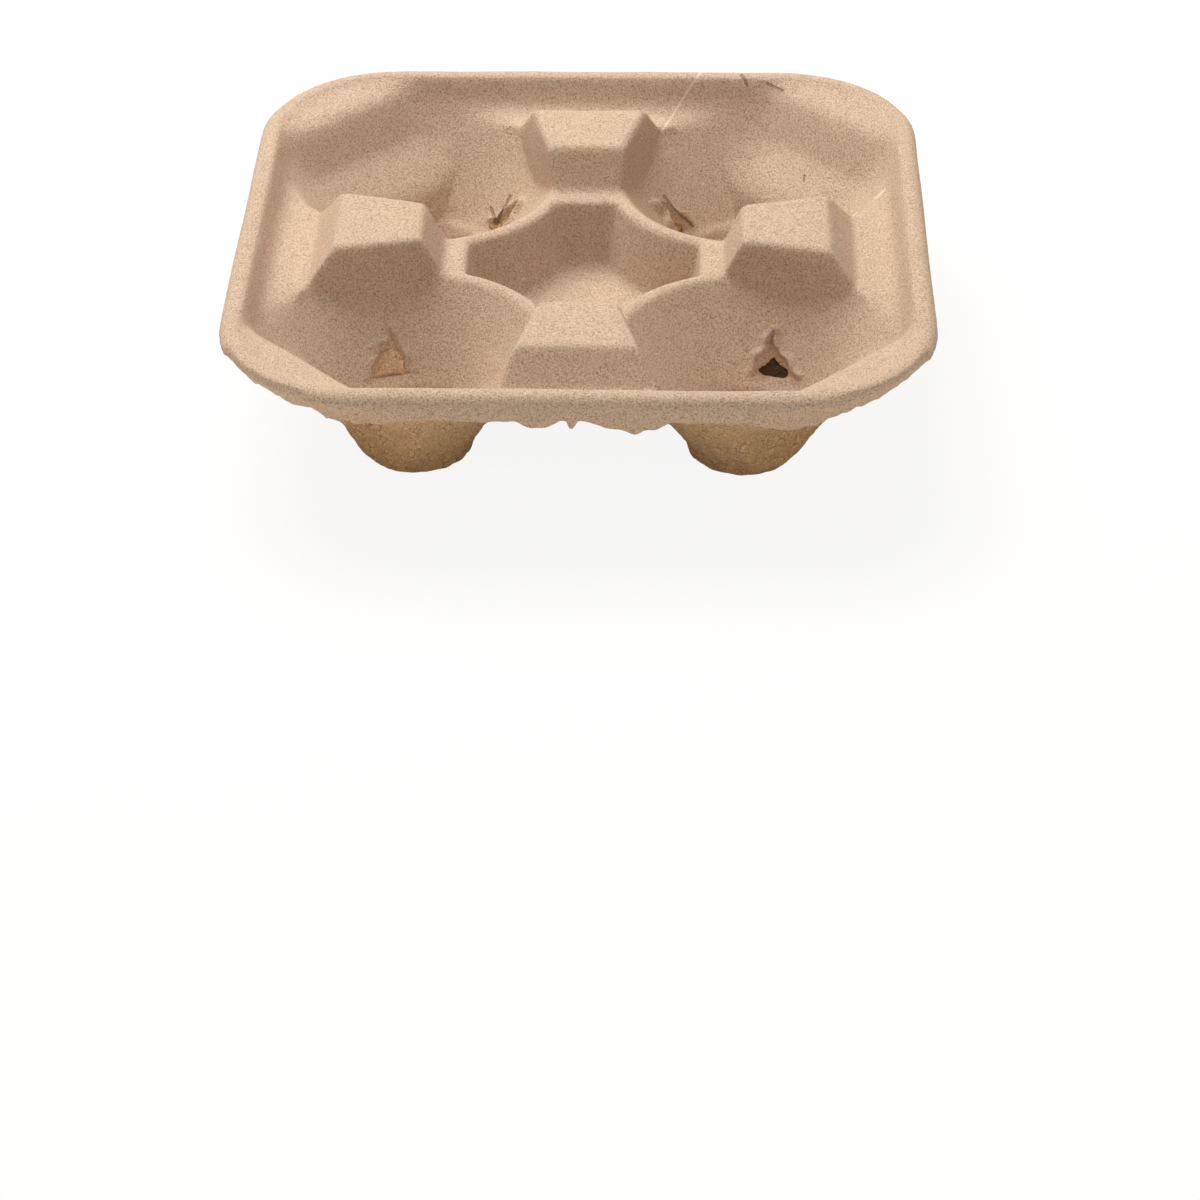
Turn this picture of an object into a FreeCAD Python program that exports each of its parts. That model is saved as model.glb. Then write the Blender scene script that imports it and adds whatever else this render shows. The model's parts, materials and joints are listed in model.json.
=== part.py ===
import FreeCAD, Part
import math
import os

from FreeCAD import Vector

# Four-cup carrier, moulded in one sheet of paper pulp.
# Millimetres. Z points up and the feet stand on z = 0, with the origin under
# the middle of the tray. X runs to the right and Y away from the viewer.

# The moulded sheet
wall = 2.1

# Heights above the surface that the feet stand on
rim_height = 52.0
ridge_height = 39.0
saddle_step = 2.5
ledge_height = 49.8
well_floor_height = 18.0
knee_height = 12.0

# Cup pockets: a wide cone above the ridges, a steeper one below them, then the foot
pocket_gap = 10.8
pocket_flare = 4.7
pocket_radius_ridge = 41.6
pocket_radius_knee = 20.8

# Feet: the cone under the knee of each pocket leans out, so its inner side is the steep one
foot_place_ground = 49.2
foot_radius_ground = 16.4
knee_step = 0.8

# Flat facet that cuts the outer corner of each pocket
facet_reach = 38.9
facet_slope = 29.0

# Rim bead and the skirt under it, which draws in round the corners
rim_margin = 1.3
bead_width = 6.5
bead_height = 3.6
bead_outer_round = 3.2
bead_inner_round = 2.0
corner_radius_inside = 38.0
hem_height = 43.0
hem_inset = 0.6
hem_corner_radius = 62.0

# Posts, one at the middle of each side: a flat roof on sloping faces
post_roof_inner = 49.9
post_roof_outer = 76.2
post_roof_half_inner = 12.6
post_roof_half_outer = 18.3
post_foot_inner = 43.5
post_foot_outer = 84.5
post_foot_half_inner = 11.0
post_foot_half_outer = 24.5
post_side_draft = 5.0

# Star-shaped well in the middle, left between four round ridges
ridge_thickness = 4.0
well_side_place = 50.0
well_side_draft = 16.0
well_tip_reach = 36.5
well_tip_draft = 11.0

# Tears in the wall under the side of each post
tear_place = 59.5
tear_height = 14.2
tear_window_width = 12.0
tear_window_height = 4.8
tear_slit_length = 27.5
tear_slit_height = 1.0

# Rounding of the moulded edges
post_roof_round = 2.4
ridge_well_round = 1.6
well_floor_round = 2.5

# Neighbouring pockets keep a gap between them, and the facets lie beyond their middles
pocket_place = pocket_radius_ridge + pocket_gap
facet_distance = pocket_place * math.sqrt(2.0) + facet_reach

# The saddles beside the posts lie a step above the ridges, and the pockets flare above them
saddle_height = ridge_height + saddle_step
pocket_radius_rim = pocket_radius_ridge + pocket_flare

UP = Vector(0, 0, 1)
MIDDLE = Vector(0, 0, 0)
OVER = 6.0


def tangent(degrees):
    return math.tan(math.radians(degrees))


def thickened(degrees):
    """The sheet's thickness, measured level, through a face with this draft."""
    return 1.0 / math.cos(math.radians(degrees))


def four(shape):
    """The shape and its copies turned to the other three quarters."""
    copies = []
    for quarter in range(4):
        copy = shape.copy()
        copy.rotate(MIDDLE, UP, 90.0 * quarter)
        copies.append(copy)
    return copies


def polygon(points, z):
    corners = [Vector(x, y, z) for x, y in points]
    return Part.makePolygon(corners + corners[:1])


def circle(place, radius, z):
    return Part.Wire(Part.Circle(Vector(place, place, z), UP, radius).toShape())


def rounded_square(half, radius, z):
    """A square of this half width with round corners."""
    straight = half - radius
    bulge = straight + radius * math.sqrt(0.5)
    edges = []
    for quarter in range(4):
        angle = 90.0 * quarter
        side = Part.makeLine(Vector(half, -straight, z), Vector(half, straight, z))
        corner = Part.Arc(Vector(half, straight, z), Vector(bulge, bulge, z), Vector(straight, half, z)).toShape()
        for edge in (side, corner):
            edge.rotate(MIDDLE, UP, angle)
            edges.append(edge)
    return Part.Wire(edges)


def solid_through(wires):
    return Part.makeLoft(wires, True, True)


def rim_wall_slope():
    """The rim wall leans back with the upper cone of the pockets."""
    return (pocket_radius_rim - pocket_radius_ridge) / (rim_height - ridge_height)


def basin_half(z):
    """Half width of the tray inside the rim wall, at a height."""
    inside = pocket_place + pocket_radius_rim + rim_margin
    return inside - (rim_height - z) * rim_wall_slope()


def basin(skin, floor, top):
    """Space inside the rim wall from a floor level up."""
    side = skin * thickened(math.degrees(math.atan(rim_wall_slope())))
    wires = []
    for z in (floor - skin, top):
        half = basin_half(z) + side
        radius = corner_radius_inside - (basin_half(rim_height) + side - half)
        wires.append(rounded_square(half, radius + side, z))
    return solid_through(wires)


def corner_blocks(distance, slope, z_low, z_high, z_distance):
    """Blocks beyond a sloping plane at each corner, at this distance from the middle at one height."""
    far = 2.0 * basin_half(rim_height)
    low = distance - (z_distance - z_low) * tangent(slope)
    high = distance - (z_distance - z_high) * tangent(slope)
    corners = [Vector(low, -far, z_low), Vector(2.0 * far, -far, z_low),
               Vector(2.0 * far, -far, z_high), Vector(high, -far, z_high)]
    block = Part.Face(Part.makePolygon(corners + corners[:1])).extrude(Vector(0, 2.0 * far, 0))
    block.rotate(MIDDLE, UP, 45.0)
    return four(block)


def facets(skin):
    distance = facet_distance + skin * thickened(facet_slope)
    return corner_blocks(distance, facet_slope, -OVER, ledge_height - skin, ledge_height)


def upright_cone(radius_low, radius_high, z_low, z_high):
    return Part.makeCone(radius_low, radius_high, z_high - z_low, Vector(pocket_place, pocket_place, z_low))


def pocket_wall_slope():
    """Slope of the lower cone of a pocket."""
    return (pocket_radius_ridge - pocket_radius_knee) / (ridge_height - knee_height)


def pocket(skin, top):
    """The two upright cones of one pocket, from its knee up."""
    side_low = skin * math.hypot(1.0, pocket_wall_slope())
    side_high = skin * math.hypot(1.0, rim_wall_slope())
    radius_top = pocket_radius_rim + side_high + (top - rim_height) * rim_wall_slope()
    radius_bend = pocket_radius_ridge + side_high
    bend = ridge_height - (side_low - side_high) / pocket_wall_slope()
    radius_knee = pocket_radius_knee + side_low - skin * pocket_wall_slope()
    return [upright_cone(radius_knee, radius_bend, knee_height - skin, bend),
            upright_cone(radius_bend, radius_top, bend, top)]


def foot(skin):
    """Leaning cone of one foot, found from its two sides in the diagonal plane through it."""
    ground = foot_place_ground * math.sqrt(2.0)
    knee = pocket_place * math.sqrt(2.0)
    knee_radius = pocket_radius_knee + wall * math.hypot(1.0, pocket_wall_slope()) - knee_step
    inner_slope = (ground - foot_radius_ground - knee + knee_radius) / knee_height
    outer_slope = (knee + knee_radius - ground - foot_radius_ground) / knee_height
    tip_depth = 2.0 * foot_radius_ground / (inner_slope + outer_slope)
    tip_distance = ground - foot_radius_ground + tip_depth * inner_slope
    lean = 0.5 * (math.atan(outer_slope) - math.atan(inner_slope))
    half_angle = 0.5 * (math.atan(outer_slope) + math.atan(inner_slope))
    out = math.sin(lean) * math.sqrt(0.5)
    axis = Vector(out, out, math.cos(lean))
    tip = Vector(tip_distance * math.sqrt(0.5), tip_distance * math.sqrt(0.5), -tip_depth)
    tip = tip + axis * ((wall - skin) / math.sin(half_angle))
    length = 2.0 * (tip_depth + knee_height)
    cone = Part.makeCone(0.0, length * math.tan(half_angle), length, tip, axis)
    floor = wall - skin
    slab = Part.makeBox(2.0 * knee, 2.0 * knee, knee_height - floor, Vector(0, 0, floor))
    return cone.common(slab)


def well(skin, top):
    """Star-shaped well: a drafted square less the four cones that stand at its sides."""
    radius_ridge = pocket_radius_ridge + ridge_thickness - (pocket_place - well_side_place) * math.sqrt(2.0)
    side = skin * thickened(well_side_draft)
    floor = well_floor_height - skin
    slope = tangent(well_side_draft)
    tip_side = skin * thickened(well_tip_draft)
    tip_slope = tangent(well_tip_draft)

    def reach(z):
        half = well_tip_reach + tip_side - (ridge_height - z) * tip_slope
        return polygon([(half, -half), (half, half), (-half, half), (-half, -half)], z)

    def edge(z):
        return circle(well_side_place, radius_ridge - side + (ridge_height - z) * slope, z)

    body = solid_through([reach(floor), reach(top)])
    cone = solid_through([edge(floor - OVER), edge(top + OVER)])
    return body.cut(four(cone))


def post(skin, bottom):
    """One post on the +X side: a roof, its sloping faces and the skirt under them."""
    draft = skin * thickened(post_side_draft)
    inner_slope = math.degrees(math.atan((post_roof_inner - post_foot_inner) / (rim_height - ridge_height)))
    outer_slope = math.degrees(math.atan((post_foot_outer - post_roof_outer) / (rim_height - saddle_height)))
    roof = rim_height - skin
    inner_side = skin * thickened(inner_slope)
    outer_side = skin * thickened(outer_slope)
    inner_fall = skin * tangent(inner_slope)
    outer_fall = skin * tangent(outer_slope)
    spread = (ridge_height - bottom) * tangent(post_side_draft)
    side_spread = skin * tangent(post_side_draft)
    ridge_outer = post_foot_outer + (saddle_height - ridge_height) * tangent(outer_slope)

    def outline(inner, outer, half_inner, half_outer, z):
        return polygon([(inner, -half_inner), (outer, -half_outer), (outer, half_outer), (inner, half_inner)], z)

    return solid_through([
        outline(post_foot_inner + inner_side, ridge_outer - outer_side,
                post_foot_half_inner - draft + spread, post_foot_half_outer - draft + spread, bottom),
        outline(post_foot_inner + inner_side, ridge_outer - outer_side,
                post_foot_half_inner - draft, post_foot_half_outer - draft, ridge_height),
        outline(post_roof_inner + inner_side - inner_fall, post_roof_outer - outer_side + outer_fall,
                post_roof_half_inner - draft + side_spread, post_roof_half_outer - draft + side_spread, roof)])


def hollow(skin, top):
    """Everything that lies above the sheet, grown by skin to give its underside."""
    middle_half = post_foot_inner + 3.0
    middle = solid_through([
        polygon([(middle_half, -middle_half), (middle_half, middle_half),
                 (-middle_half, middle_half), (-middle_half, -middle_half)], z)
        for z in (ridge_height - skin, top)])
    cones = pocket(skin, top) + [foot(skin)]
    cups = four(cones[0].fuse(cones[1:]))
    wide = basin(skin, saddle_height, top).fuse(cups + [middle]).cut(facets(skin))
    space = wide.fuse([well(skin, top)])
    return space.cut(four(post(skin, -OVER))).removeSplitter()


def rounded(shape, radius, z, nearest=0.0, farthest=1000.0):
    """The shape with its level edges at a height rounded, within a range from the middle."""
    return shape.makeFillet(radius, level_edges(shape, z, nearest, farthest)).Solids[0]


def upper_side():
    """Space above the sheet, up past the rim, with the soft edges that the cups meet."""
    near = 0.1
    inside = basin_half(rim_height)
    slab_half = inside + 2.0 * bead_width
    slab = Part.makeBox(2.0 * slab_half, 2.0 * slab_half, OVER, Vector(-slab_half, -slab_half, rim_height))
    space = hollow(0.0, rim_height + OVER).fuse(slab).removeSplitter().Solids[0]
    space = rounded(space, bead_inner_round, rim_height, inside - near, inside + near)
    space = rounded(space, post_roof_round, rim_height, post_roof_inner - near, post_roof_outer + near)
    space = rounded(space, ridge_well_round, ridge_height, 0.0, well_tip_reach + near)
    return rounded(space, well_floor_round, well_floor_height)


def underside():
    """Everything from the sheet's underside up to the rim, with the rim shell joined on."""
    space = hollow(wall, rim_height).Solids[0]
    return space.fuse(rim_shell())


def rim_shell():
    """Bead and skirt round the tray: a rounded outer face over a hollow underside."""
    outside = basin_half(rim_height) + bead_width
    radius = corner_radius_inside + bead_width
    bead = Part.Face(rounded_square(outside, radius, rim_height - bead_height)).extrude(UP * bead_height)
    bead = bead.makeFillet(bead_outer_round, level_edges(bead, rim_height))
    hollow_bead = Part.Face(rounded_square(outside - wall, radius - wall, rim_height - bead_height))
    hollow_bead = hollow_bead.extrude(UP * (bead_height - wall))
    return bead.fuse(skirt(0.0)).cut([hollow_bead, skirt(wall)])


def skirt(inset):
    """The skirt from the bead down to the hem, or the space inside it."""
    outside = basin_half(rim_height) + bead_width - inset
    radius = corner_radius_inside + bead_width - inset
    return solid_through([rounded_square(outside - hem_inset, hem_corner_radius - inset, hem_height),
                          rounded_square(outside, radius, rim_height - bead_height)])


def level_edges(shape, z, nearest=0.0, farthest=1000.0):
    """Edges that lie level at a height, with both ends this far from the middle, measured square."""
    found = []
    for edge in shape.Edges:
        ends = [vertex.Point for vertex in edge.Vertexes]
        level = all(abs(point.z - z) < 0.01 for point in ends + [edge.CenterOfMass])
        reaches = [max(abs(point.x), abs(point.y)) for point in ends]
        if level and nearest <= min(reaches) and max(reaches) <= farthest:
            found.append(edge)
    return found


def tear():
    """Slit and open window in the pocket wall beside the post on the +X side."""
    half = 0.5 * tear_window_width
    window_corners = [Vector(tear_place - half, 0, tear_height), Vector(tear_place + half, 0, tear_height),
                      Vector(tear_place, 0, tear_height + tear_window_height)]
    window = Part.Face(Part.makePolygon(window_corners + window_corners[:1]))
    window = window.extrude(Vector(0, pocket_place, 0))
    slit = Part.makeBox(tear_slit_length, pocket_place, tear_slit_height,
                        Vector(tear_place - 0.5 * tear_slit_length, 0, tear_height))
    one = window.fuse(slit)
    return one.fuse(one.mirror(MIDDLE, Vector(0, 1, 0)))


tray = underside().cut([upper_side()] + four(tear()))

os.makedirs("parts", exist_ok=True)
tray.exportStep("parts/carrier_tray.step")
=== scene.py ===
"""A four-cup carrier of moulded paper pulp, dressed on its CAD tray."""

import json
import math

import bmesh
import bpy
from mathutils import Matrix, Vector, noise

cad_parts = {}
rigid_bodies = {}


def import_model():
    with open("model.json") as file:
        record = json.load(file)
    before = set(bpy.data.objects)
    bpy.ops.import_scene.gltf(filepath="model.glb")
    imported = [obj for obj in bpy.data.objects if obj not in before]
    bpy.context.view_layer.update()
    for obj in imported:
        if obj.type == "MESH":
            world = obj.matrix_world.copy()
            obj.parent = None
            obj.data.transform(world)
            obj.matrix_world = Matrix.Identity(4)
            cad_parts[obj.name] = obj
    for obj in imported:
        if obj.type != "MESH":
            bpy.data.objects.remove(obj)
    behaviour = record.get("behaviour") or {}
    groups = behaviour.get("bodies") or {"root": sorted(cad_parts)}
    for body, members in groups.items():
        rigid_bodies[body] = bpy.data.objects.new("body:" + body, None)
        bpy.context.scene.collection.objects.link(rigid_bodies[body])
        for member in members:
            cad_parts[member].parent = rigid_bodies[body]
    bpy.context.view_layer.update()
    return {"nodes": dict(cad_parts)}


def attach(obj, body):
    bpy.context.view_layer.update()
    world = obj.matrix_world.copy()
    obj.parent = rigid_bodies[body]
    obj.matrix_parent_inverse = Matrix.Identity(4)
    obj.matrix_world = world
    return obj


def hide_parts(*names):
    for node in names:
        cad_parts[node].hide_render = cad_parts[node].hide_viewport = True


bl_info = {
    "name": "Pulp Cup Carrier",
    "version": (1, 0, 0),
    "blender": (4, 5, 0),
    "location": "View3D > Sidebar > Carrier",
    "description": "Moulds a cup carrier in paper pulp and lights it",
    "category": "Object",
}

MM = 0.001
TRAY = "carrier_tray"
DIAGONAL = math.sqrt(0.5)

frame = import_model()


# Node trees

# Sockets of a Mix node that blends two colours
MIX_LOW, MIX_HIGH, MIX_RESULT = 6, 7, 2


class Shade:
    """A socket that takes part in Python expressions."""

    def __init__(self, maker, socket):
        self.maker = maker
        self.socket = socket

    def math(self, operation, other=0.0, swapped=False):
        pair = (other, self) if swapped else (self, other)
        return self.maker.node("ShaderNodeMath", {"operation": operation},
                               {0: pair[0], 1: pair[1]})

    def __add__(self, other):
        return self.math("ADD", other)

    def __radd__(self, other):
        return self.math("ADD", other, True)

    def __sub__(self, other):
        return self.math("SUBTRACT", other)

    def __rsub__(self, other):
        return self.math("SUBTRACT", other, True)

    def __mul__(self, other):
        return self.math("MULTIPLY", other)

    def __rmul__(self, other):
        return self.math("MULTIPLY", other, True)

    def highest(self, other):
        return self.math("MAXIMUM", other)

    def over(self, low, high):
        """0 below low, 1 above high and smooth between."""
        return self.maker.node("ShaderNodeMapRange",
                               {"interpolation_type": "SMOOTHSTEP", "clamp": True},
                               {"Value": self, "From Min": low, "From Max": high})


class Maker:
    """A material or world whose node tree is under construction."""

    def __init__(self, data):
        self.data = data
        data.use_nodes = True
        self.tree = data.node_tree
        self.tree.nodes.clear()

    def node(self, kind, settings=None, values=None, output=0):
        made = self.tree.nodes.new(kind)
        for key, value in (settings or {}).items():
            setattr(made, key, value)
        for key, value in (values or {}).items():
            if isinstance(value, Shade):
                self.tree.links.new(value.socket, made.inputs[key])
            else:
                made.inputs[key].default_value = value
        return Shade(self, made.outputs[output])

    def cloud(self, place, scale, detail=2.0, rough=0.5, distortion=0.0):
        return self.node("ShaderNodeTexNoise", {"noise_dimensions": "3D"},
                         {"Vector": place, "Scale": scale, "Detail": detail, "Roughness": rough,
                          "Distortion": distortion})

    def stretched(self, place, turn, scale):
        return self.node("ShaderNodeMapping", {},
                         {"Vector": place, "Rotation": turn, "Scale": scale})

    def cells(self, place, scale, feature):
        return self.node("ShaderNodeTexVoronoi", {"feature": feature},
                         {"Vector": place, "Scale": scale})

    def vectors(self, operation, first, second, output="Vector"):
        return self.node("ShaderNodeVectorMath", {"operation": operation},
                         {0: first, 1: second}, output)

    def scaled(self, place, scale):
        return self.node("ShaderNodeVectorMath", {"operation": "SCALE"},
                         {0: place, "Scale": scale})

    def wandering(self, place, scale, detail, distance):
        """A place pushed about by noise."""
        push = self.node("ShaderNodeTexNoise", {},
                         {"Vector": place, "Scale": scale, "Detail": detail}, "Color")
        return self.vectors("ADD", place, self.scaled(push, distance))

    def blend(self, share, low, high):
        """A colour between two colours."""
        return self.node("ShaderNodeMix", {"data_type": "RGBA"},
                         {0: share, MIX_LOW: low, MIX_HIGH: high}, MIX_RESULT)

    def mixed(self, share, first, second):
        """A surface or background between two of them."""
        return self.node("ShaderNodeMixShader", {}, {0: share, 1: first, 2: second})

    def end(self, kind, surface):
        last = self.tree.nodes.new(kind)
        self.tree.links.new(surface.socket, last.inputs["Surface"])


def highest(shades):
    best = shades[0]
    for shade in shades[1:]:
        best = best.highest(shade)
    return best


def scene_objects():
    return bpy.context.scene.collection.objects


def new_piece(name, mesh):
    piece = bpy.data.objects.new(name, mesh)
    scene_objects().link(piece)
    return piece


def shade_smooth(mesh):
    for face in mesh.polygons:
        face.use_smooth = True


def wave(place, size, seed):
    """Smooth noise from -1 to 1 with bumps of this size."""
    return noise.noise(place / size + Vector((seed, 0.37 * seed, 1.91 * seed)))


def ramp(value, low, high):
    """0 below low, 1 above high and smooth between."""
    share = min(1.0, max(0.0, (value - low) / (high - low)))
    return share * share * (3.0 - 2.0 * share)


# Settings


class CARRIER_PG_sheet(bpy.types.PropertyGroup):
    cell: bpy.props.FloatProperty(
        name="Cell", description="Size of the even mesh that the sheet is worked in",
        default=0.85 * MM, unit="LENGTH", precision=5)
    passes: bpy.props.IntProperty(
        name="Softening", description="Smoothing passes that round every edge above the ground",
        default=5)
    outer_passes: bpy.props.IntProperty(
        name="Outer softening", description="Further passes on the soft outer walls and corners",
        default=80)
    faces: bpy.props.IntProperty(
        name="Triangles", description="Triangles that the finished sheet keeps", default=190000)
    warp: bpy.props.FloatProperty(
        name="Warp", description="Slow unevenness of the dried sheet",
        default=0.30 * MM, unit="LENGTH", precision=5)
    dimple: bpy.props.FloatProperty(
        name="Dimples", description="Small unevenness of the upper side",
        default=0.05 * MM, unit="LENGTH", precision=5)
    crust: bpy.props.FloatProperty(
        name="Crust", description="Rough relief of the side that faced no mould",
        default=0.38 * MM, unit="LENGTH", precision=5)


class CARRIER_PG_hem(bpy.types.PropertyGroup):
    height: bpy.props.FloatProperty(
        name="Hem height", description="Height of the skirt's lower edge",
        default=43.0 * MM, unit="LENGTH", precision=4)
    straight: bpy.props.FloatProperty(
        name="Straight", description="Half length of the hem's straight stretch",
        default=43.6 * MM, unit="LENGTH", precision=4)
    corner: bpy.props.FloatProperty(
        name="Corner", description="Corner radius of the hem",
        default=62.0 * MM, unit="LENGTH", precision=4)
    ragged: bpy.props.FloatProperty(
        name="Ragged", description="How far the torn hem wanders",
        default=1.1 * MM, unit="LENGTH", precision=4)
    crumbs: bpy.props.FloatProperty(
        name="Crumbs", description="Height of the crumbs on the skirt's corners",
        default=0.55 * MM, unit="LENGTH", precision=5)
    corner_drop: bpy.props.FloatProperty(
        name="Corner drop", description="How much lower the hem hangs at the corners",
        default=3.6 * MM, unit="LENGTH", precision=4)


class CARRIER_PG_foot(bpy.types.PropertyGroup):
    reach: bpy.props.FloatProperty(
        name="Reach", description="Distance of a foot's flattened outer side at the ground",
        default=86.2 * MM, unit="LENGTH", precision=4)
    lean: bpy.props.FloatProperty(
        name="Lean", description="Outward slope of a foot's flattened outer side", default=0.22)
    top: bpy.props.FloatProperty(
        name="Top", description="Height where the flattened side meets the pocket's facet",
        default=36.0 * MM, unit="LENGTH", precision=4)
    wall: bpy.props.FloatProperty(
        name="Wall", description="Thickness of the sheet",
        default=2.1 * MM, unit="LENGTH", precision=4)


class CARRIER_PG_tear(bpy.types.PropertyGroup):
    place: bpy.props.FloatProperty(
        name="Place", description="Distance of the tears along the tray",
        default=59.5 * MM, unit="LENGTH", precision=4)
    foot: bpy.props.FloatProperty(
        name="Foot", description="Height at which the fold over a tear is full",
        default=18.5 * MM, unit="LENGTH", precision=4)
    peak: bpy.props.FloatProperty(
        name="Peak", description="Height at which the fold over a tear ends",
        default=28.0 * MM, unit="LENGTH", precision=4)
    depth: bpy.props.FloatProperty(
        name="Depth", description="How far the fold stands into the pocket",
        default=2.7 * MM, unit="LENGTH", precision=4)
    base: bpy.props.FloatProperty(
        name="Base", description="Height of a tear's lower edge",
        default=13.6 * MM, unit="LENGTH", precision=4)
    centre: bpy.props.FloatProperty(
        name="Centre", description="Distance of a pocket's axis from the middle lines",
        default=52.4 * MM, unit="LENGTH", precision=4)
    radius: bpy.props.FloatProperty(
        name="Radius", description="Radius of the torn wall's middle at the tear's base",
        default=23.4 * MM, unit="LENGTH", precision=4)
    slope: bpy.props.FloatProperty(
        name="Slope", description="Growth of the pocket's radius with height", default=0.77)
    flap_width: bpy.props.FloatProperty(
        name="Flap width", description="Width of a torn tongue at its hinge",
        default=19.0 * MM, unit="LENGTH", precision=4)
    flap_height: bpy.props.FloatProperty(
        name="Flap height", description="Height of a torn tongue",
        default=6.5 * MM, unit="LENGTH", precision=4)
    flap_lean: bpy.props.FloatProperty(
        name="Flap lean", description="How far a torn tongue bends out",
        default=0.5 * MM, unit="LENGTH", precision=4)
    flap_thickness: bpy.props.FloatProperty(
        name="Flap thickness", description="Thickness of a torn tongue",
        default=1.1 * MM, unit="LENGTH", precision=4)


class CARRIER_PG_pulp(bpy.types.PropertyGroup):
    face: bpy.props.FloatVectorProperty(
        name="Upper side", description="Colour of the smooth upper side",
        subtype="COLOR", size=4, default=(0.625, 0.480, 0.368, 1.0))
    pale: bpy.props.FloatVectorProperty(
        name="Pale fibres", description="Colour of the pale fibres",
        subtype="COLOR", size=4, default=(0.760, 0.600, 0.450, 1.0))
    dark: bpy.props.FloatVectorProperty(
        name="Dark fibres", description="Colour of the dark fibres",
        subtype="COLOR", size=4, default=(0.260, 0.155, 0.085, 1.0))
    under: bpy.props.FloatVectorProperty(
        name="Underside", description="Colour of the rough underside",
        subtype="COLOR", size=4, default=(0.930, 0.620, 0.310, 1.0))
    # The hollow colour is painted shade, the near black seen inside a tear
    hollow: bpy.props.FloatVectorProperty(
        name="Hollow", description="Colour of the dark inside of a tear",
        subtype="COLOR", size=4, default=(0.030, 0.018, 0.010, 1.0))
    scratch: bpy.props.FloatVectorProperty(
        name="Scratch", description="Colour of the pale scratches",
        subtype="COLOR", size=4, default=(0.930, 0.840, 0.720, 1.0))


class CARRIER_PG_stage(bpy.types.PropertyGroup):
    floor: bpy.props.FloatProperty(
        name="Floor", description="Width of the floor", default=6.0, unit="LENGTH")
    key: bpy.props.FloatProperty(
        name="Key light", description="Power of the large lamp", default=17.6, unit="POWER")
    sky: bpy.props.FloatProperty(
        name="Sky", description="Strength of the even light", default=0.34)


# The pulp sheet

# Corners of the CAD mesh that are nearer than this are one
SAME_PLACE = 0.002 * MM

# The soft outer walls and corners: their heights, and the distances that bound them
SOFT_LOW, SOFT_HIGH = 30.0 * MM, 51.3 * MM
SOFT_REACH, SOFT_WALL_REACH, SOFT_CORNER_REACH = 103.5 * MM, 86.5 * MM, 98.0 * MM
# The inner side of the skirt, which is left out of them
SKIRT_REACH, SKIRT_TOP = 100.0 * MM, 45.5 * MM

# Softening that also reaches the feet's lower edges, up to this height
GROUND_PASSES, GROUND_HEIGHT = 2, 3.0 * MM
SMOOTHING = 0.5

# Noise in the sheet's relief: size and seed
WARP_NOISE = (28.0 * MM, 1.3)
DIMPLE_NOISE = (4.0 * MM, 2.9)
CRUST_NOISE = (3.2 * MM, 4.1)
CREASE_NOISE = (6.5 * MM, 6.7)
CRUMB_NOISE = (2.4 * MM, 9.3)
HEM_NOISE = (9.0 * MM, 3.1)
FRAY_NOISE = (2.6 * MM, 5.3)
CORNER_NOISE = (5.0 * MM, 7.7)
FOLD_NOISE = (5.0 * MM, 8.9)

# A surface is underside where its normal points this far down, and less so on the skirt
UNDER_FULL, UNDER_NONE = -0.35, 0.05
SKIRT_FADE, SKIRT_LOW, SKIRT_HIGH = 0.80, 8.0 * MM, 2.0 * MM

# The skirt lies within this of the hem's reach, and gives way up to this above the hem
HEM_BAND, HEM_SOFT, CRUMB_BAND = 5.0 * MM, 3.0 * MM, 4.0 * MM
CRUMB_CORNER = 1.4
CORNER_START, CORNER_FULL = 1.10, 1.45
CORNER_LEAST, CORNER_WANDER = 0.8, 0.5
HEM_SHARE, FRAY_SHARE = 0.55, 0.45

# Torn stretches of the front hem: middle, half width and drop
FRONT_SHREDS = [(-0.0100, 0.0062, 0.0022), (-0.0006, 0.0015, 0.0026),
                (0.0130, 0.0080, 0.0020), (0.0205, 0.0070, 0.0026),
                (-0.0480, 0.0060, 0.0006)]
SHRED_FULL, SHRED_END = 0.30, 1.1

# The flattened feet: how much of the excess goes, the height over which that fades,
# and the band of the normal that parts the two sides of the sheet
FLATTENING, FLAT_FADE, FACING_BAND = 0.9, 16.0 * MM, 0.01

# The fold over a tear lies this near the middle lines, runs in from below and out above,
# and is weaker on the left
FOLD_ACROSS, FOLD_RUN_IN, FOLD_RUN_OUT = 34.0 * MM, 5.0 * MM, 2.0 * MM
FOLD_STRENGTH, FOLD_TO_RIGHT = 0.85, 0.15
FOLD_SPREAD, FOLD_WANDER = 0.50, 3.2 * MM
RIDGE_WIDTH = 1.2 * MM
HOLLOW_DEPTH, HOLLOW_WIDTH, HOLLOW_LEAST = 0.25, 0.6, 0.2 * MM
HOLLOW_START, HOLLOW_FULL = 1.0 * MM, 3.0 * MM
FOLDS_FROM, FACING_UP = 12.0 * MM, -0.2

# Relief below this height must not push the feet through the ground
GROUND_BAND = 1.0 * MM


def bake_modifiers(piece):
    """The piece keeps the shape that its modifiers give it, and loses them."""
    shaped = piece.evaluated_get(bpy.context.evaluated_depsgraph_get())
    mesh = bpy.data.meshes.new_from_object(shaped)
    piece.modifiers.clear()
    piece.data = mesh


def even_sheet(sheet):
    """The tray's own mesh, evenly divided."""
    mesh = frame["nodes"][TRAY].data.copy()
    piece = new_piece("pulp_tray", mesh)
    form = bmesh.new()
    form.from_mesh(mesh)
    bmesh.ops.remove_doubles(form, verts=form.verts, dist=SAME_PLACE)
    form.to_mesh(mesh)
    form.free()
    even = piece.modifiers.new("even", "REMESH")
    even.mode = "VOXEL"
    even.voxel_size = sheet.cell
    bake_modifiers(piece)
    return piece


def corner_distance(place):
    """Distance from the tray's axis, measured towards the corner."""
    return (abs(place.x) + abs(place.y)) * DIAGONAL


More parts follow.
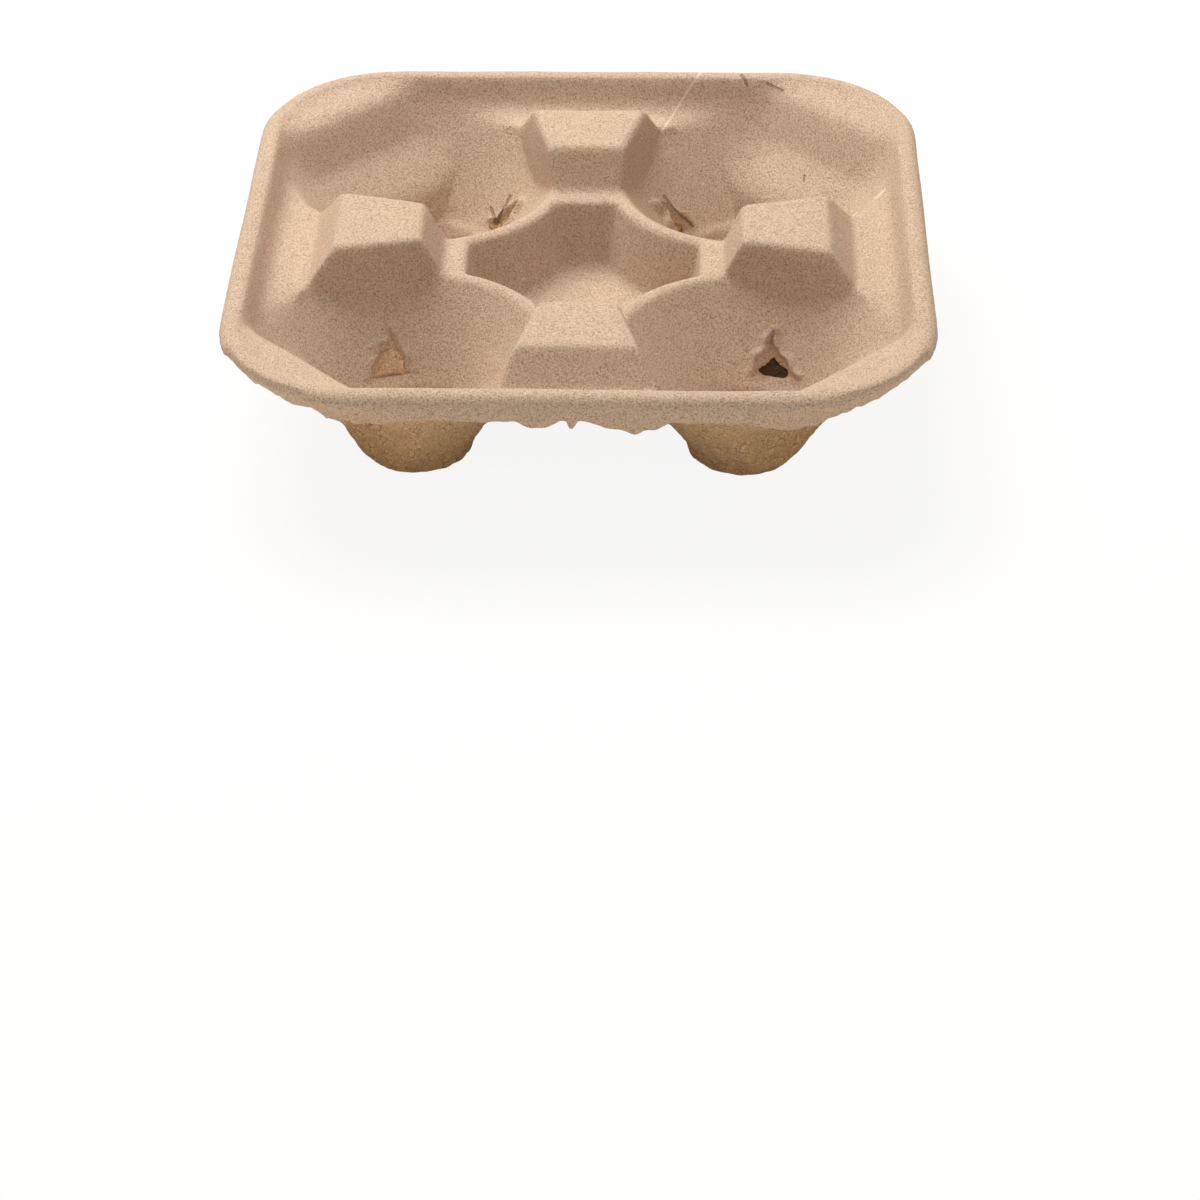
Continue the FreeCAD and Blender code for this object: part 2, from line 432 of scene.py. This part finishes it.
def hem_reach(place, hem):
    """Distance from the square that the hem runs round; on the hem it is the corner radius."""
    return math.hypot(max(abs(place.x) - hem.straight, 0.0), max(abs(place.y) - hem.straight, 0.0))


def hem_drop(place, hem):
    """How far the torn hem hangs below its level there."""
    flat = Vector((place.x, place.y, 0.0))
    torn = HEM_SHARE * wave(flat, *HEM_NOISE) + FRAY_SHARE * wave(flat, *FRAY_NOISE)
    drop = hem.ragged * torn
    corner = ramp(min(abs(place.x), abs(place.y)) / hem.straight, CORNER_START, CORNER_FULL)
    drop += hem.corner_drop * corner * (CORNER_LEAST + CORNER_WANDER * wave(flat, *CORNER_NOISE))
    if place.y < 0 and abs(place.x) < hem.straight:
        for middle, half, low in FRONT_SHREDS:
            drop += low * (1.0 - ramp(abs(place.x - middle) / half, SHRED_FULL, SHRED_END))
    return drop


def lies_outside(place):
    """True on the soft walls and corners round the pockets, not on posts, feet or skirt."""
    reach = max(abs(place.x), abs(place.y))
    if not SOFT_LOW < place.z < SOFT_HIGH or (reach > SKIRT_REACH and place.z < SKIRT_TOP):
        return False
    outer = corner_distance(place) > SOFT_CORNER_REACH or reach > SOFT_WALL_REACH
    return reach < SOFT_REACH and outer


def flattened(place, out, foot):
    """Pull of the sheet towards the middle, where the outer side of a foot is flat."""
    if place.z > foot.top:
        return Vector()
    facing = out.x * place.x + out.y * place.y
    inside = foot.wall * (1.0 - ramp(facing, -FACING_BAND, FACING_BAND))
    limit = foot.reach + foot.lean * place.z - inside
    excess = max(0.0, corner_distance(place) - limit)
    excess *= 1.0 - ramp(place.z, foot.top - FLAT_FADE, foot.top)
    step = FLATTENING * excess * DIAGONAL
    return Vector((math.copysign(step, -place.x), math.copysign(step, -place.y), 0.0))


def fold_over_tear(place, tear):
    """Push of the pocket wall into the pocket, where it folds over the tears."""
    if not tear.foot - FOLD_RUN_IN < place.z < tear.peak + FOLD_RUN_OUT:
        return 0.0
    push = 0.0
    strength = FOLD_STRENGTH + FOLD_TO_RIGHT * math.copysign(1.0, place.x)
    for along, across in ((abs(place.x), abs(place.y)), (abs(place.y), abs(place.x))):
        if across > FOLD_ACROSS:
            continue
        climb = ramp(place.z, tear.foot - FOLD_RUN_IN, tear.foot)
        climb *= 1.0 - ramp(place.z, tear.peak - FOLD_RUN_OUT, tear.peak)
        spread = max(0.0, tear.peak - place.z) * FOLD_SPREAD
        away = abs(along - tear.place + FOLD_WANDER * wave(place, *FOLD_NOISE))
        ridge = math.exp(-((away - spread) / RIDGE_WIDTH) ** 2)
        hollow = math.exp(-(away / (HOLLOW_WIDTH * spread + HOLLOW_LEAST)) ** 2)
        hollow *= ramp(spread, HOLLOW_START, HOLLOW_FULL)
        push += strength * climb * tear.depth * (ridge - HOLLOW_DEPTH * hollow)
    return push


def soften(form, sheet):
    """Rounds the edges as wet pulp does, most of all outside the pockets."""
    outer = [vert for vert in form.verts if lies_outside(vert.co)]
    raised = [vert for vert in form.verts if vert.co.z > GROUND_HEIGHT]
    rounds = ((GROUND_PASSES, form.verts), (sheet.passes, raised), (sheet.outer_passes, outer))
    for passes, verts in rounds:
        for _ in range(passes):
            bmesh.ops.smooth_vert(form, verts=verts, factor=SMOOTHING,
                                  use_axis_x=True, use_axis_y=True, use_axis_z=True)
    form.normal_update()


def underside_share(place, out, hem):
    """1 on the rough underside and 0 on the upper side."""
    side = 1.0 - ramp(out.z, UNDER_FULL, UNDER_NONE)
    skirt = ramp(place.z, hem.height - SKIRT_LOW, hem.height - SKIRT_HIGH)
    return side * (1.0 - SKIRT_FADE * skirt)


def relief_at(place, out, side, on_skirt, sheet, hem, tear):
    """Height of the sheet's relief along its normal."""
    relief = sheet.warp * wave(place, *WARP_NOISE)
    relief += sheet.dimple * (1.0 - side) * wave(place, *DIMPLE_NOISE)
    relief += sheet.crust * side * (wave(place, *CRUST_NOISE) - abs(wave(place, *CREASE_NOISE)))
    if place.z > FOLDS_FROM:
        facing = 1.0 if out.z > FACING_UP else -1.0
        relief += facing * fold_over_tear(place, tear)
    if on_skirt and place.z < hem.height + CRUMB_BAND:
        nearest = min(abs(place.x), abs(place.y))
        corner = ramp(nearest, hem.straight, CRUMB_CORNER * hem.straight)
        relief += hem.crumbs * corner * wave(place, *CRUMB_NOISE)
    return relief


def work_sheet(piece, sheet, hem, foot, tear):
    """Gives the sheet its softened edges, torn hem, folds and relief."""
    form = bmesh.new()
    form.from_mesh(piece.data)
    soften(form, sheet)
    rough = form.verts.layers.float.new("underside")
    moves = []
    for vert in form.verts:
        place, out = vert.co, vert.normal
        side = underside_share(place, out, hem)
        vert[rough] = side
        on_skirt = hem_reach(place, hem) > hem.corner - HEM_BAND
        relief = relief_at(place, out, side, on_skirt, sheet, hem, tear)
        move = out * relief + flattened(place, out, foot)
        if place.z < GROUND_BAND:
            move.z = max(move.z, -place.z)
        if on_skirt and place.z < hem.height + HEM_SOFT:
            share = 1.0 - ramp(place.z, hem.height, hem.height + HEM_SOFT)
            move.z -= share * hem_drop(place, hem)
        moves.append(move)
    for vert, move in zip(form.verts, moves):
        vert.co += move
    form.to_mesh(piece.data)
    form.free()


def thin_out(piece, faces):
    """Fewer triangles where the sheet is plain."""
    triangles = sum(len(face.vertices) - 2 for face in piece.data.polygons)
    if triangles > faces:
        fewer = piece.modifiers.new("fewer", "DECIMATE")
        fewer.ratio = faces / triangles
        bake_modifiers(piece)
    shade_smooth(piece.data)


# The tongues behind the tears, with painted shade inside the tears

FLAP_COLUMNS, FLAP_ROWS, FLAP_TAPER = 10, 7, 0.55
FLAP_RAGGED, FLAP_NOISE = 0.18, (1.0, 4.4)
FLAP_NOISE_ACROSS, FLAP_NOISE_UP = 8.0, 3.0
# The front post has none, as its tongues would show below the skirt
FLAP_QUARTERS = 3
# Underside shares of the tongues; above 1 they blend in the hollow colour, painted shade for the
# dark inside of a tear
FLAP_PALE, FLAP_SHADED, FLAP_DEEP_SHADE = 0.6, 1.45, 2.0
# Underside shares over which that painted shade comes in
TEAR_SHADE_FROM, TEAR_SHADE_TO = 1.2, 1.9


def torn_flap(form, tear, side):
    """One tongue of pulp behind a tear, hinged on the tear's lower edge and bent out."""
    grid = bmesh.ops.create_grid(form, x_segments=FLAP_COLUMNS, y_segments=FLAP_ROWS, size=0.5)
    middle = math.asin((tear.place - tear.centre) / tear.radius)
    for vert in grid["verts"]:
        across, rise = vert.co.x, vert.co.y + 0.5
        spot = Vector((FLAP_NOISE_ACROSS * across, FLAP_NOISE_UP * rise, side))
        up = tear.flap_height * rise * (1.0 + FLAP_RAGGED * wave(spot, *FLAP_NOISE))
        out = tear.radius + tear.slope * up + tear.flap_lean * rise * rise
        turn = middle + tear.flap_width * across * (1.0 - FLAP_TAPER * rise) / tear.radius
        vert.co = Vector((tear.centre + out * math.sin(turn),
                          side * (tear.centre - out * math.cos(turn)), tear.base + up))
    return grid["verts"]


def flap_shade(place):
    """Painted shade: the front right tongue is black and the back ones dark for the shade inside
    their tears, the front left one pale pulp.
    """
    if place.y < 0.0:
        return FLAP_DEEP_SHADE if place.x > 0.0 else FLAP_PALE
    return FLAP_SHADED


def all_flaps(tear):
    form = bmesh.new()
    for quarter in range(FLAP_QUARTERS):
        for side in (-1.0, 1.0):
            made = torn_flap(form, tear, side)
            turn = Matrix.Rotation(math.radians(90.0 * quarter), 3, "Z")
            bmesh.ops.rotate(form, verts=made, cent=(0.0, 0.0, 0.0), matrix=turn)
    bmesh.ops.solidify(form, geom=form.faces, thickness=tear.flap_thickness)
    bmesh.ops.recalc_face_normals(form, faces=form.faces)
    # Underside shares of the tongues; the front right and back ones carry painted shade
    rough = form.verts.layers.float.new("underside")
    for vert in form.verts:
        vert[rough] = flap_shade(vert.co)
    mesh = bpy.data.meshes.new("torn_flaps_and_painted_shade")
    form.to_mesh(mesh)
    form.free()
    shade_smooth(mesh)
    return new_piece("torn_flaps_and_painted_shade", mesh)


# The pulp material

# Small cracks and pale scratches of the pictured tray: start and end
CRACKS = [((0.0504, 0.1019, 0.0520), (0.0521, 0.0993, 0.0500)),
          ((0.0591, 0.0993, 0.0500), (0.0640, 0.0957, 0.0496)),
          ((0.0710, 0.0729, 0.0295), (0.0704, 0.0705, 0.0256)),
          ((-0.0327, 0.0694, 0.0187), (-0.0305, 0.0629, 0.0163)),
          ((-0.0305, 0.0629, 0.0163), (-0.0262, 0.0675, 0.0243)),
          ((0.0248, 0.0664, 0.0253), (0.0288, 0.0652, 0.0199)),
          ((0.0288, 0.0652, 0.0199), (0.0345, 0.0662, 0.0142))]
SCRATCHES = [((0.0364, 0.1032, 0.0520), (0.0304, 0.0974, 0.0449)),
             ((0.0304, 0.0974, 0.0449), (0.0239, 0.0834, 0.0405)),
             ((0.0849, 0.0240, 0.0415), (0.0958, 0.0409, 0.0415)),
             ((0.0374, 0.0780, 0.0236), (0.0378, 0.0783, 0.0238)),
             ((-0.0197, 0.0145, 0.0228), (-0.0193, 0.0147, 0.0229))]
CRACK_HALF, SCRATCH_HALF = 0.60 * MM, 0.50 * MM
MARK_WANDER = 0.9 * MM
# The marks may lie a little above or below the surface along this direction
ACROSS_MARKS = Vector((-0.0214, 0.8219, -0.5692))
SQUASH = 0.85

# Noise in the pulp's colour and grain: scale, detail, roughness and distortion
BLOTCH = (30.0, 3.0, 0.55)
DEEP = (95.0, 2.0, 0.5)
MOTTLE = (260.0, 4.0, 0.6)
GRAIN = (1700.0, 3.0, 0.75)
CRUMBS = (2700.0, 2.0, 0.6)
FIBRE = (1700.0, 1.0, 0.5, 0.6)
FIBRE_TURNS = ((0.3, 0.5, 0.2), (1.2, 0.1, 1.9), (0.7, 2.1, 1.1))
FIBRE_STRETCH = (1.0, 0.25, 1.0)
SPECK_SCALE, CRACKLE_SCALE = 420.0, 360.0
# Noise that makes the crackle wander: scale, detail and distance
CRACKLE_WANDER = (170.0, 2.0, 4.0 * MM)
BUMP_DEPTH = 0.42 * MM
SHEEN = 0.22


def squashed(place):
    return place - ACROSS_MARKS * (SQUASH * place.dot(ACROSS_MARKS))


def near_marks(make, place, marks, half, ragged):
    """1 on the marks and 0 away from them."""
    depth = make.vectors("DOT_PRODUCT", place, ACROSS_MARKS, "Value")
    flat = make.vectors("SUBTRACT", place, make.scaled(ACROSS_MARKS, SQUASH * depth))
    lines = []
    for start, end in marks:
        first = squashed(Vector(start))
        reach = squashed(Vector(end)) - first
        rest = make.vectors("SUBTRACT", flat, first)
        along = make.vectors("DOT_PRODUCT", rest, reach / reach.length_squared, "Value")
        along = along.math("MAXIMUM", 0.0).math("MINIMUM", 1.0)
        away = make.vectors("DISTANCE", rest, make.scaled(reach, along), "Value")
        lines.append(1.0 - (away + ragged).over(0.5 * half, half))
    return highest(lines)


def pulp_finish(pulp):
    """Unbleached paper pulp: fine grain, pale and dark fibres, marks, a crackled underside and
    painted shade inside the tears.
    """
    make = Maker(bpy.data.materials.new("moulded_pulp"))
    place = make.node("ShaderNodeTexCoord", output="Object")
    # The underside share; above 1 on the tongues it brings in the painted shade inside a tear
    side = make.node("ShaderNodeAttribute", {"attribute_name": "underside"}, output="Fac")
    blotch = make.cloud(place, *BLOTCH)
    deep = make.cloud(place, *DEEP)
    mottle = make.cloud(place, *MOTTLE)
    grain = make.cloud(place, *GRAIN)
    crumbs = make.cloud(place, *CRUMBS)
    lines = [make.cloud(make.stretched(place, turn, FIBRE_STRETCH), *FIBRE)
             for turn in FIBRE_TURNS]
    fibres = highest([line.over(0.70, 0.78) for line in lines])
    hairs = highest([(1.0 - line).over(0.71, 0.78) for line in lines])
    speck = (1.0 - make.cells(place, SPECK_SCALE, "F1")).over(0.86, 0.93)
    edges = make.cells(make.wandering(place, *CRACKLE_WANDER), CRACKLE_SCALE, "DISTANCE_TO_EDGE")
    crackle = (1.0 - edges.over(0.0, 0.10)) * mottle.over(0.42, 0.62)
    ragged = MARK_WANDER * grain - 0.5 * MARK_WANDER
    cracks = near_marks(make, place, CRACKS, CRACK_HALF, ragged)
    scratches = near_marks(make, place, SCRATCHES, SCRATCH_HALF, ragged)

    # Each layer's share and colour, from the lowest to the uppermost
    layers = [(side, pulp.under),
              (0.16 * blotch.over(0.35, 0.70), pulp.pale),
              (0.14 * (1.0 - mottle).over(0.45, 0.75), pulp.dark),
              ((0.85 - 0.60 * side) * grain.over(0.51, 0.63), pulp.pale),
              ((0.68 + 0.10 * side) * (1.0 - grain).over(0.52, 0.63), pulp.dark),
              ((0.40 - 0.20 * side) * crumbs.over(0.52, 0.66), pulp.pale),
              ((0.60 + 0.15 * side) * (1.0 - crumbs).over(0.52, 0.65), pulp.dark),
              (0.55 * fibres, pulp.pale),
              (0.35 * hairs, pulp.dark),
              (0.55 * speck * deep.over(0.45, 0.60), pulp.dark),
              (0.60 * crackle * side, pulp.dark),
              (0.22 * side * (1.0 - mottle).over(0.40, 0.62), pulp.dark),
              # Painted shade: the near black inside of a tear, on tongues whose underside share is
              # above 1
              (0.90 * side.over(TEAR_SHADE_FROM, TEAR_SHADE_TO), pulp.hollow),
              (0.62 * cracks, pulp.dark),
              (0.45 * scratches, pulp.scratch)]
    colour = pulp.face
    for share, tint in layers:
        colour = make.blend(share, colour, tint)

    height = 0.75 * grain + 0.30 * crumbs + 0.80 * mottle * (0.18 + side)
    height = height + 0.35 * fibres - 0.90 * crackle * side - 1.50 * cracks
    bump = make.node("ShaderNodeBump", {},
                     {"Strength": 1.0, "Distance": BUMP_DEPTH, "Height": height})
    surface = make.node("ShaderNodeBsdfPrincipled", {},
                        {"Base Color": colour, "Roughness": 0.84 + 0.12 * mottle,
                         "Specular IOR Level": SHEEN, "Normal": bump})
    make.end("ShaderNodeOutputMaterial", surface)
    return make.data


class CARRIER_OT_tray(bpy.types.Operator):
    """Mould the pulp tray over the CAD sheet"""

    bl_idname = "carrier.tray"
    bl_label = "Pulp Tray"

    def execute(self, context):
        scene = context.scene
        sheet = scene.carrier_sheet
        piece = even_sheet(sheet)
        work_sheet(piece, sheet, scene.carrier_hem, scene.carrier_foot, scene.carrier_tear)
        thin_out(piece, sheet.faces)
        piece.data.materials.clear()
        piece.data.materials.append(pulp_finish(scene.carrier_pulp))
        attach(piece, "root")
        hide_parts(TRAY)
        return {"FINISHED"}


class CARRIER_OT_flaps(bpy.types.Operator):
    """Hang the torn tongues of pulp behind the tears"""

    bl_idname = "carrier.flaps"
    bl_label = "Torn Flaps"

    def execute(self, context):
        piece = all_flaps(context.scene.carrier_tear)
        piece.data.materials.append(bpy.data.materials["moulded_pulp"])
        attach(piece, "root")
        return {"FINISHED"}


# The stage

CAMERA_TARGET = Vector((0.0089, -0.1680, 0.0250))
CAMERA_DISTANCE = 0.957
CAMERA_YAW = math.radians(-1.49)
CAMERA_PITCH = math.radians(34.69)
CAMERA_ROLL = math.radians(-0.35)
CAMERA_LENS = 104.37
CAMERA_SENSOR = 36.0

LAMP_TARGET = Vector((0.0, 0.0, 0.03))
LAMP_SIZE = 1.0
KEY_PLACE, KEY_COLOUR = Vector((-0.28, 0.48, 1.04)), (1.0, 0.98, 0.95)
FILL_PLACE, FILL_COLOUR = Vector((0.5, -0.9, 0.8)), (0.97, 0.98, 1.0)
FILL_SHARE = 0.12
SKY_COLOUR = (1.0, 0.83, 0.68, 1.0)
FLOOR_COLOUR = (0.92, 0.92, 0.92, 1.0)
WHITE = (1.0, 1.0, 1.0, 1.0)
# How much of the floor seen by the camera is its own even white
FLOOR_GLOW = 0.90


def place_camera():
    """The photograph's viewpoint."""
    data = bpy.data.cameras.new("view")
    data.lens = CAMERA_LENS
    data.sensor_width = CAMERA_SENSOR
    camera = new_piece("view", data)
    turn = Matrix.Rotation(-CAMERA_YAW, 4, "Z")
    turn = turn @ Matrix.Rotation(math.radians(90.0) - CAMERA_PITCH, 4, "X")
    turn = turn @ Matrix.Rotation(CAMERA_ROLL, 4, "Z")
    look = turn @ Vector((0.0, 0.0, -1.0))
    camera.matrix_world = Matrix.Translation(CAMERA_TARGET - look * CAMERA_DISTANCE) @ turn
    bpy.context.scene.camera = camera


def floor_finish():
    """Pale paper, evened out where it is seen directly or in a glossy or clear surface."""
    make = Maker(bpy.data.materials.new("pale_floor"))
    paper = make.node("ShaderNodeBsdfDiffuse", {}, {"Color": FLOOR_COLOUR})
    glow = make.node("ShaderNodeEmission", {}, {"Color": WHITE, "Strength": 1.0})
    seen = highest([make.node("ShaderNodeLightPath", output=kind)
                    for kind in ("Is Camera Ray", "Is Glossy Ray", "Is Transmission Ray")])
    make.end("ShaderNodeOutputMaterial", make.mixed(FLOOR_GLOW * seen, paper, glow))
    return make.data


def lamp(name, place, power, colour):
    data = bpy.data.lights.new(name, "AREA")
    data.shape = "DISK"
    data.size = LAMP_SIZE
    data.energy = power
    data.color = colour
    aim = (LAMP_TARGET - place).to_track_quat("-Z", "Y")
    new_piece(name, data).matrix_world = Matrix.Translation(place) @ aim.to_matrix().to_4x4()


def light_world(strength):
    """Even warm light, white where the camera sees past the floor."""
    make = Maker(bpy.data.worlds.new("soft_light"))
    bpy.context.scene.world = make.data
    direct = make.node("ShaderNodeLightPath", output="Is Camera Ray")
    sky = make.node("ShaderNodeBackground", {}, {"Color": SKY_COLOUR, "Strength": strength})
    white = make.node("ShaderNodeBackground", {}, {"Color": WHITE, "Strength": 1.0})
    make.end("ShaderNodeOutputWorld", make.mixed(direct, sky, white))


class CARRIER_OT_stage(bpy.types.Operator):
    """Set out the floor, the lamps and the camera"""

    bl_idname = "carrier.stage"
    bl_label = "Stage"

    def execute(self, context):
        stage = context.scene.carrier_stage
        mesh = bpy.data.meshes.new("floor")
        form = bmesh.new()
        bmesh.ops.create_grid(form, x_segments=1, y_segments=1, size=0.5 * stage.floor)
        form.to_mesh(mesh)
        form.free()
        floor = new_piece("floor", mesh)
        mesh.materials.append(floor_finish())
        lamp("key", KEY_PLACE, stage.key, KEY_COLOUR)
        lamp("fill", FILL_PLACE, FILL_SHARE * stage.key, FILL_COLOUR)
        light_world(stage.sky)
        place_camera()
        context.scene.view_settings.view_transform = "Standard"
        return {"FINISHED"}


class CARRIER_PT_panel(bpy.types.Panel):
    bl_label = "Cup Carrier"
    bl_idname = "CARRIER_PT_panel"
    bl_space_type = "VIEW_3D"
    bl_region_type = "UI"
    bl_category = "Carrier"

    def draw(self, context):
        for kind, name in SETTINGS:
            box = self.layout.box()
            box.label(text=name.replace("carrier_", "").capitalize())
            for field in kind.__annotations__:
                box.prop(getattr(context.scene, name), field)
        for operator in OPERATORS:
            self.layout.operator(operator.bl_idname)


SETTINGS = [(CARRIER_PG_sheet, "carrier_sheet"), (CARRIER_PG_hem, "carrier_hem"),
            (CARRIER_PG_foot, "carrier_foot"), (CARRIER_PG_tear, "carrier_tear"),
            (CARRIER_PG_pulp, "carrier_pulp"), (CARRIER_PG_stage, "carrier_stage")]
OPERATORS = [CARRIER_OT_tray, CARRIER_OT_flaps, CARRIER_OT_stage]
CLASSES = [kind for kind, _ in SETTINGS] + OPERATORS + [CARRIER_PT_panel]


def register():
    for kind in CLASSES:
        bpy.utils.register_class(kind)
    for kind, name in SETTINGS:
        setattr(bpy.types.Scene, name, bpy.props.PointerProperty(type=kind))


def unregister():
    for _, name in SETTINGS:
        delattr(bpy.types.Scene, name)
    for kind in reversed(CLASSES):
        bpy.utils.unregister_class(kind)


def main():
    register()
    bpy.ops.carrier.tray()
    bpy.ops.carrier.flaps()
    bpy.ops.carrier.stage()


if __name__ == "__main__":
    main()
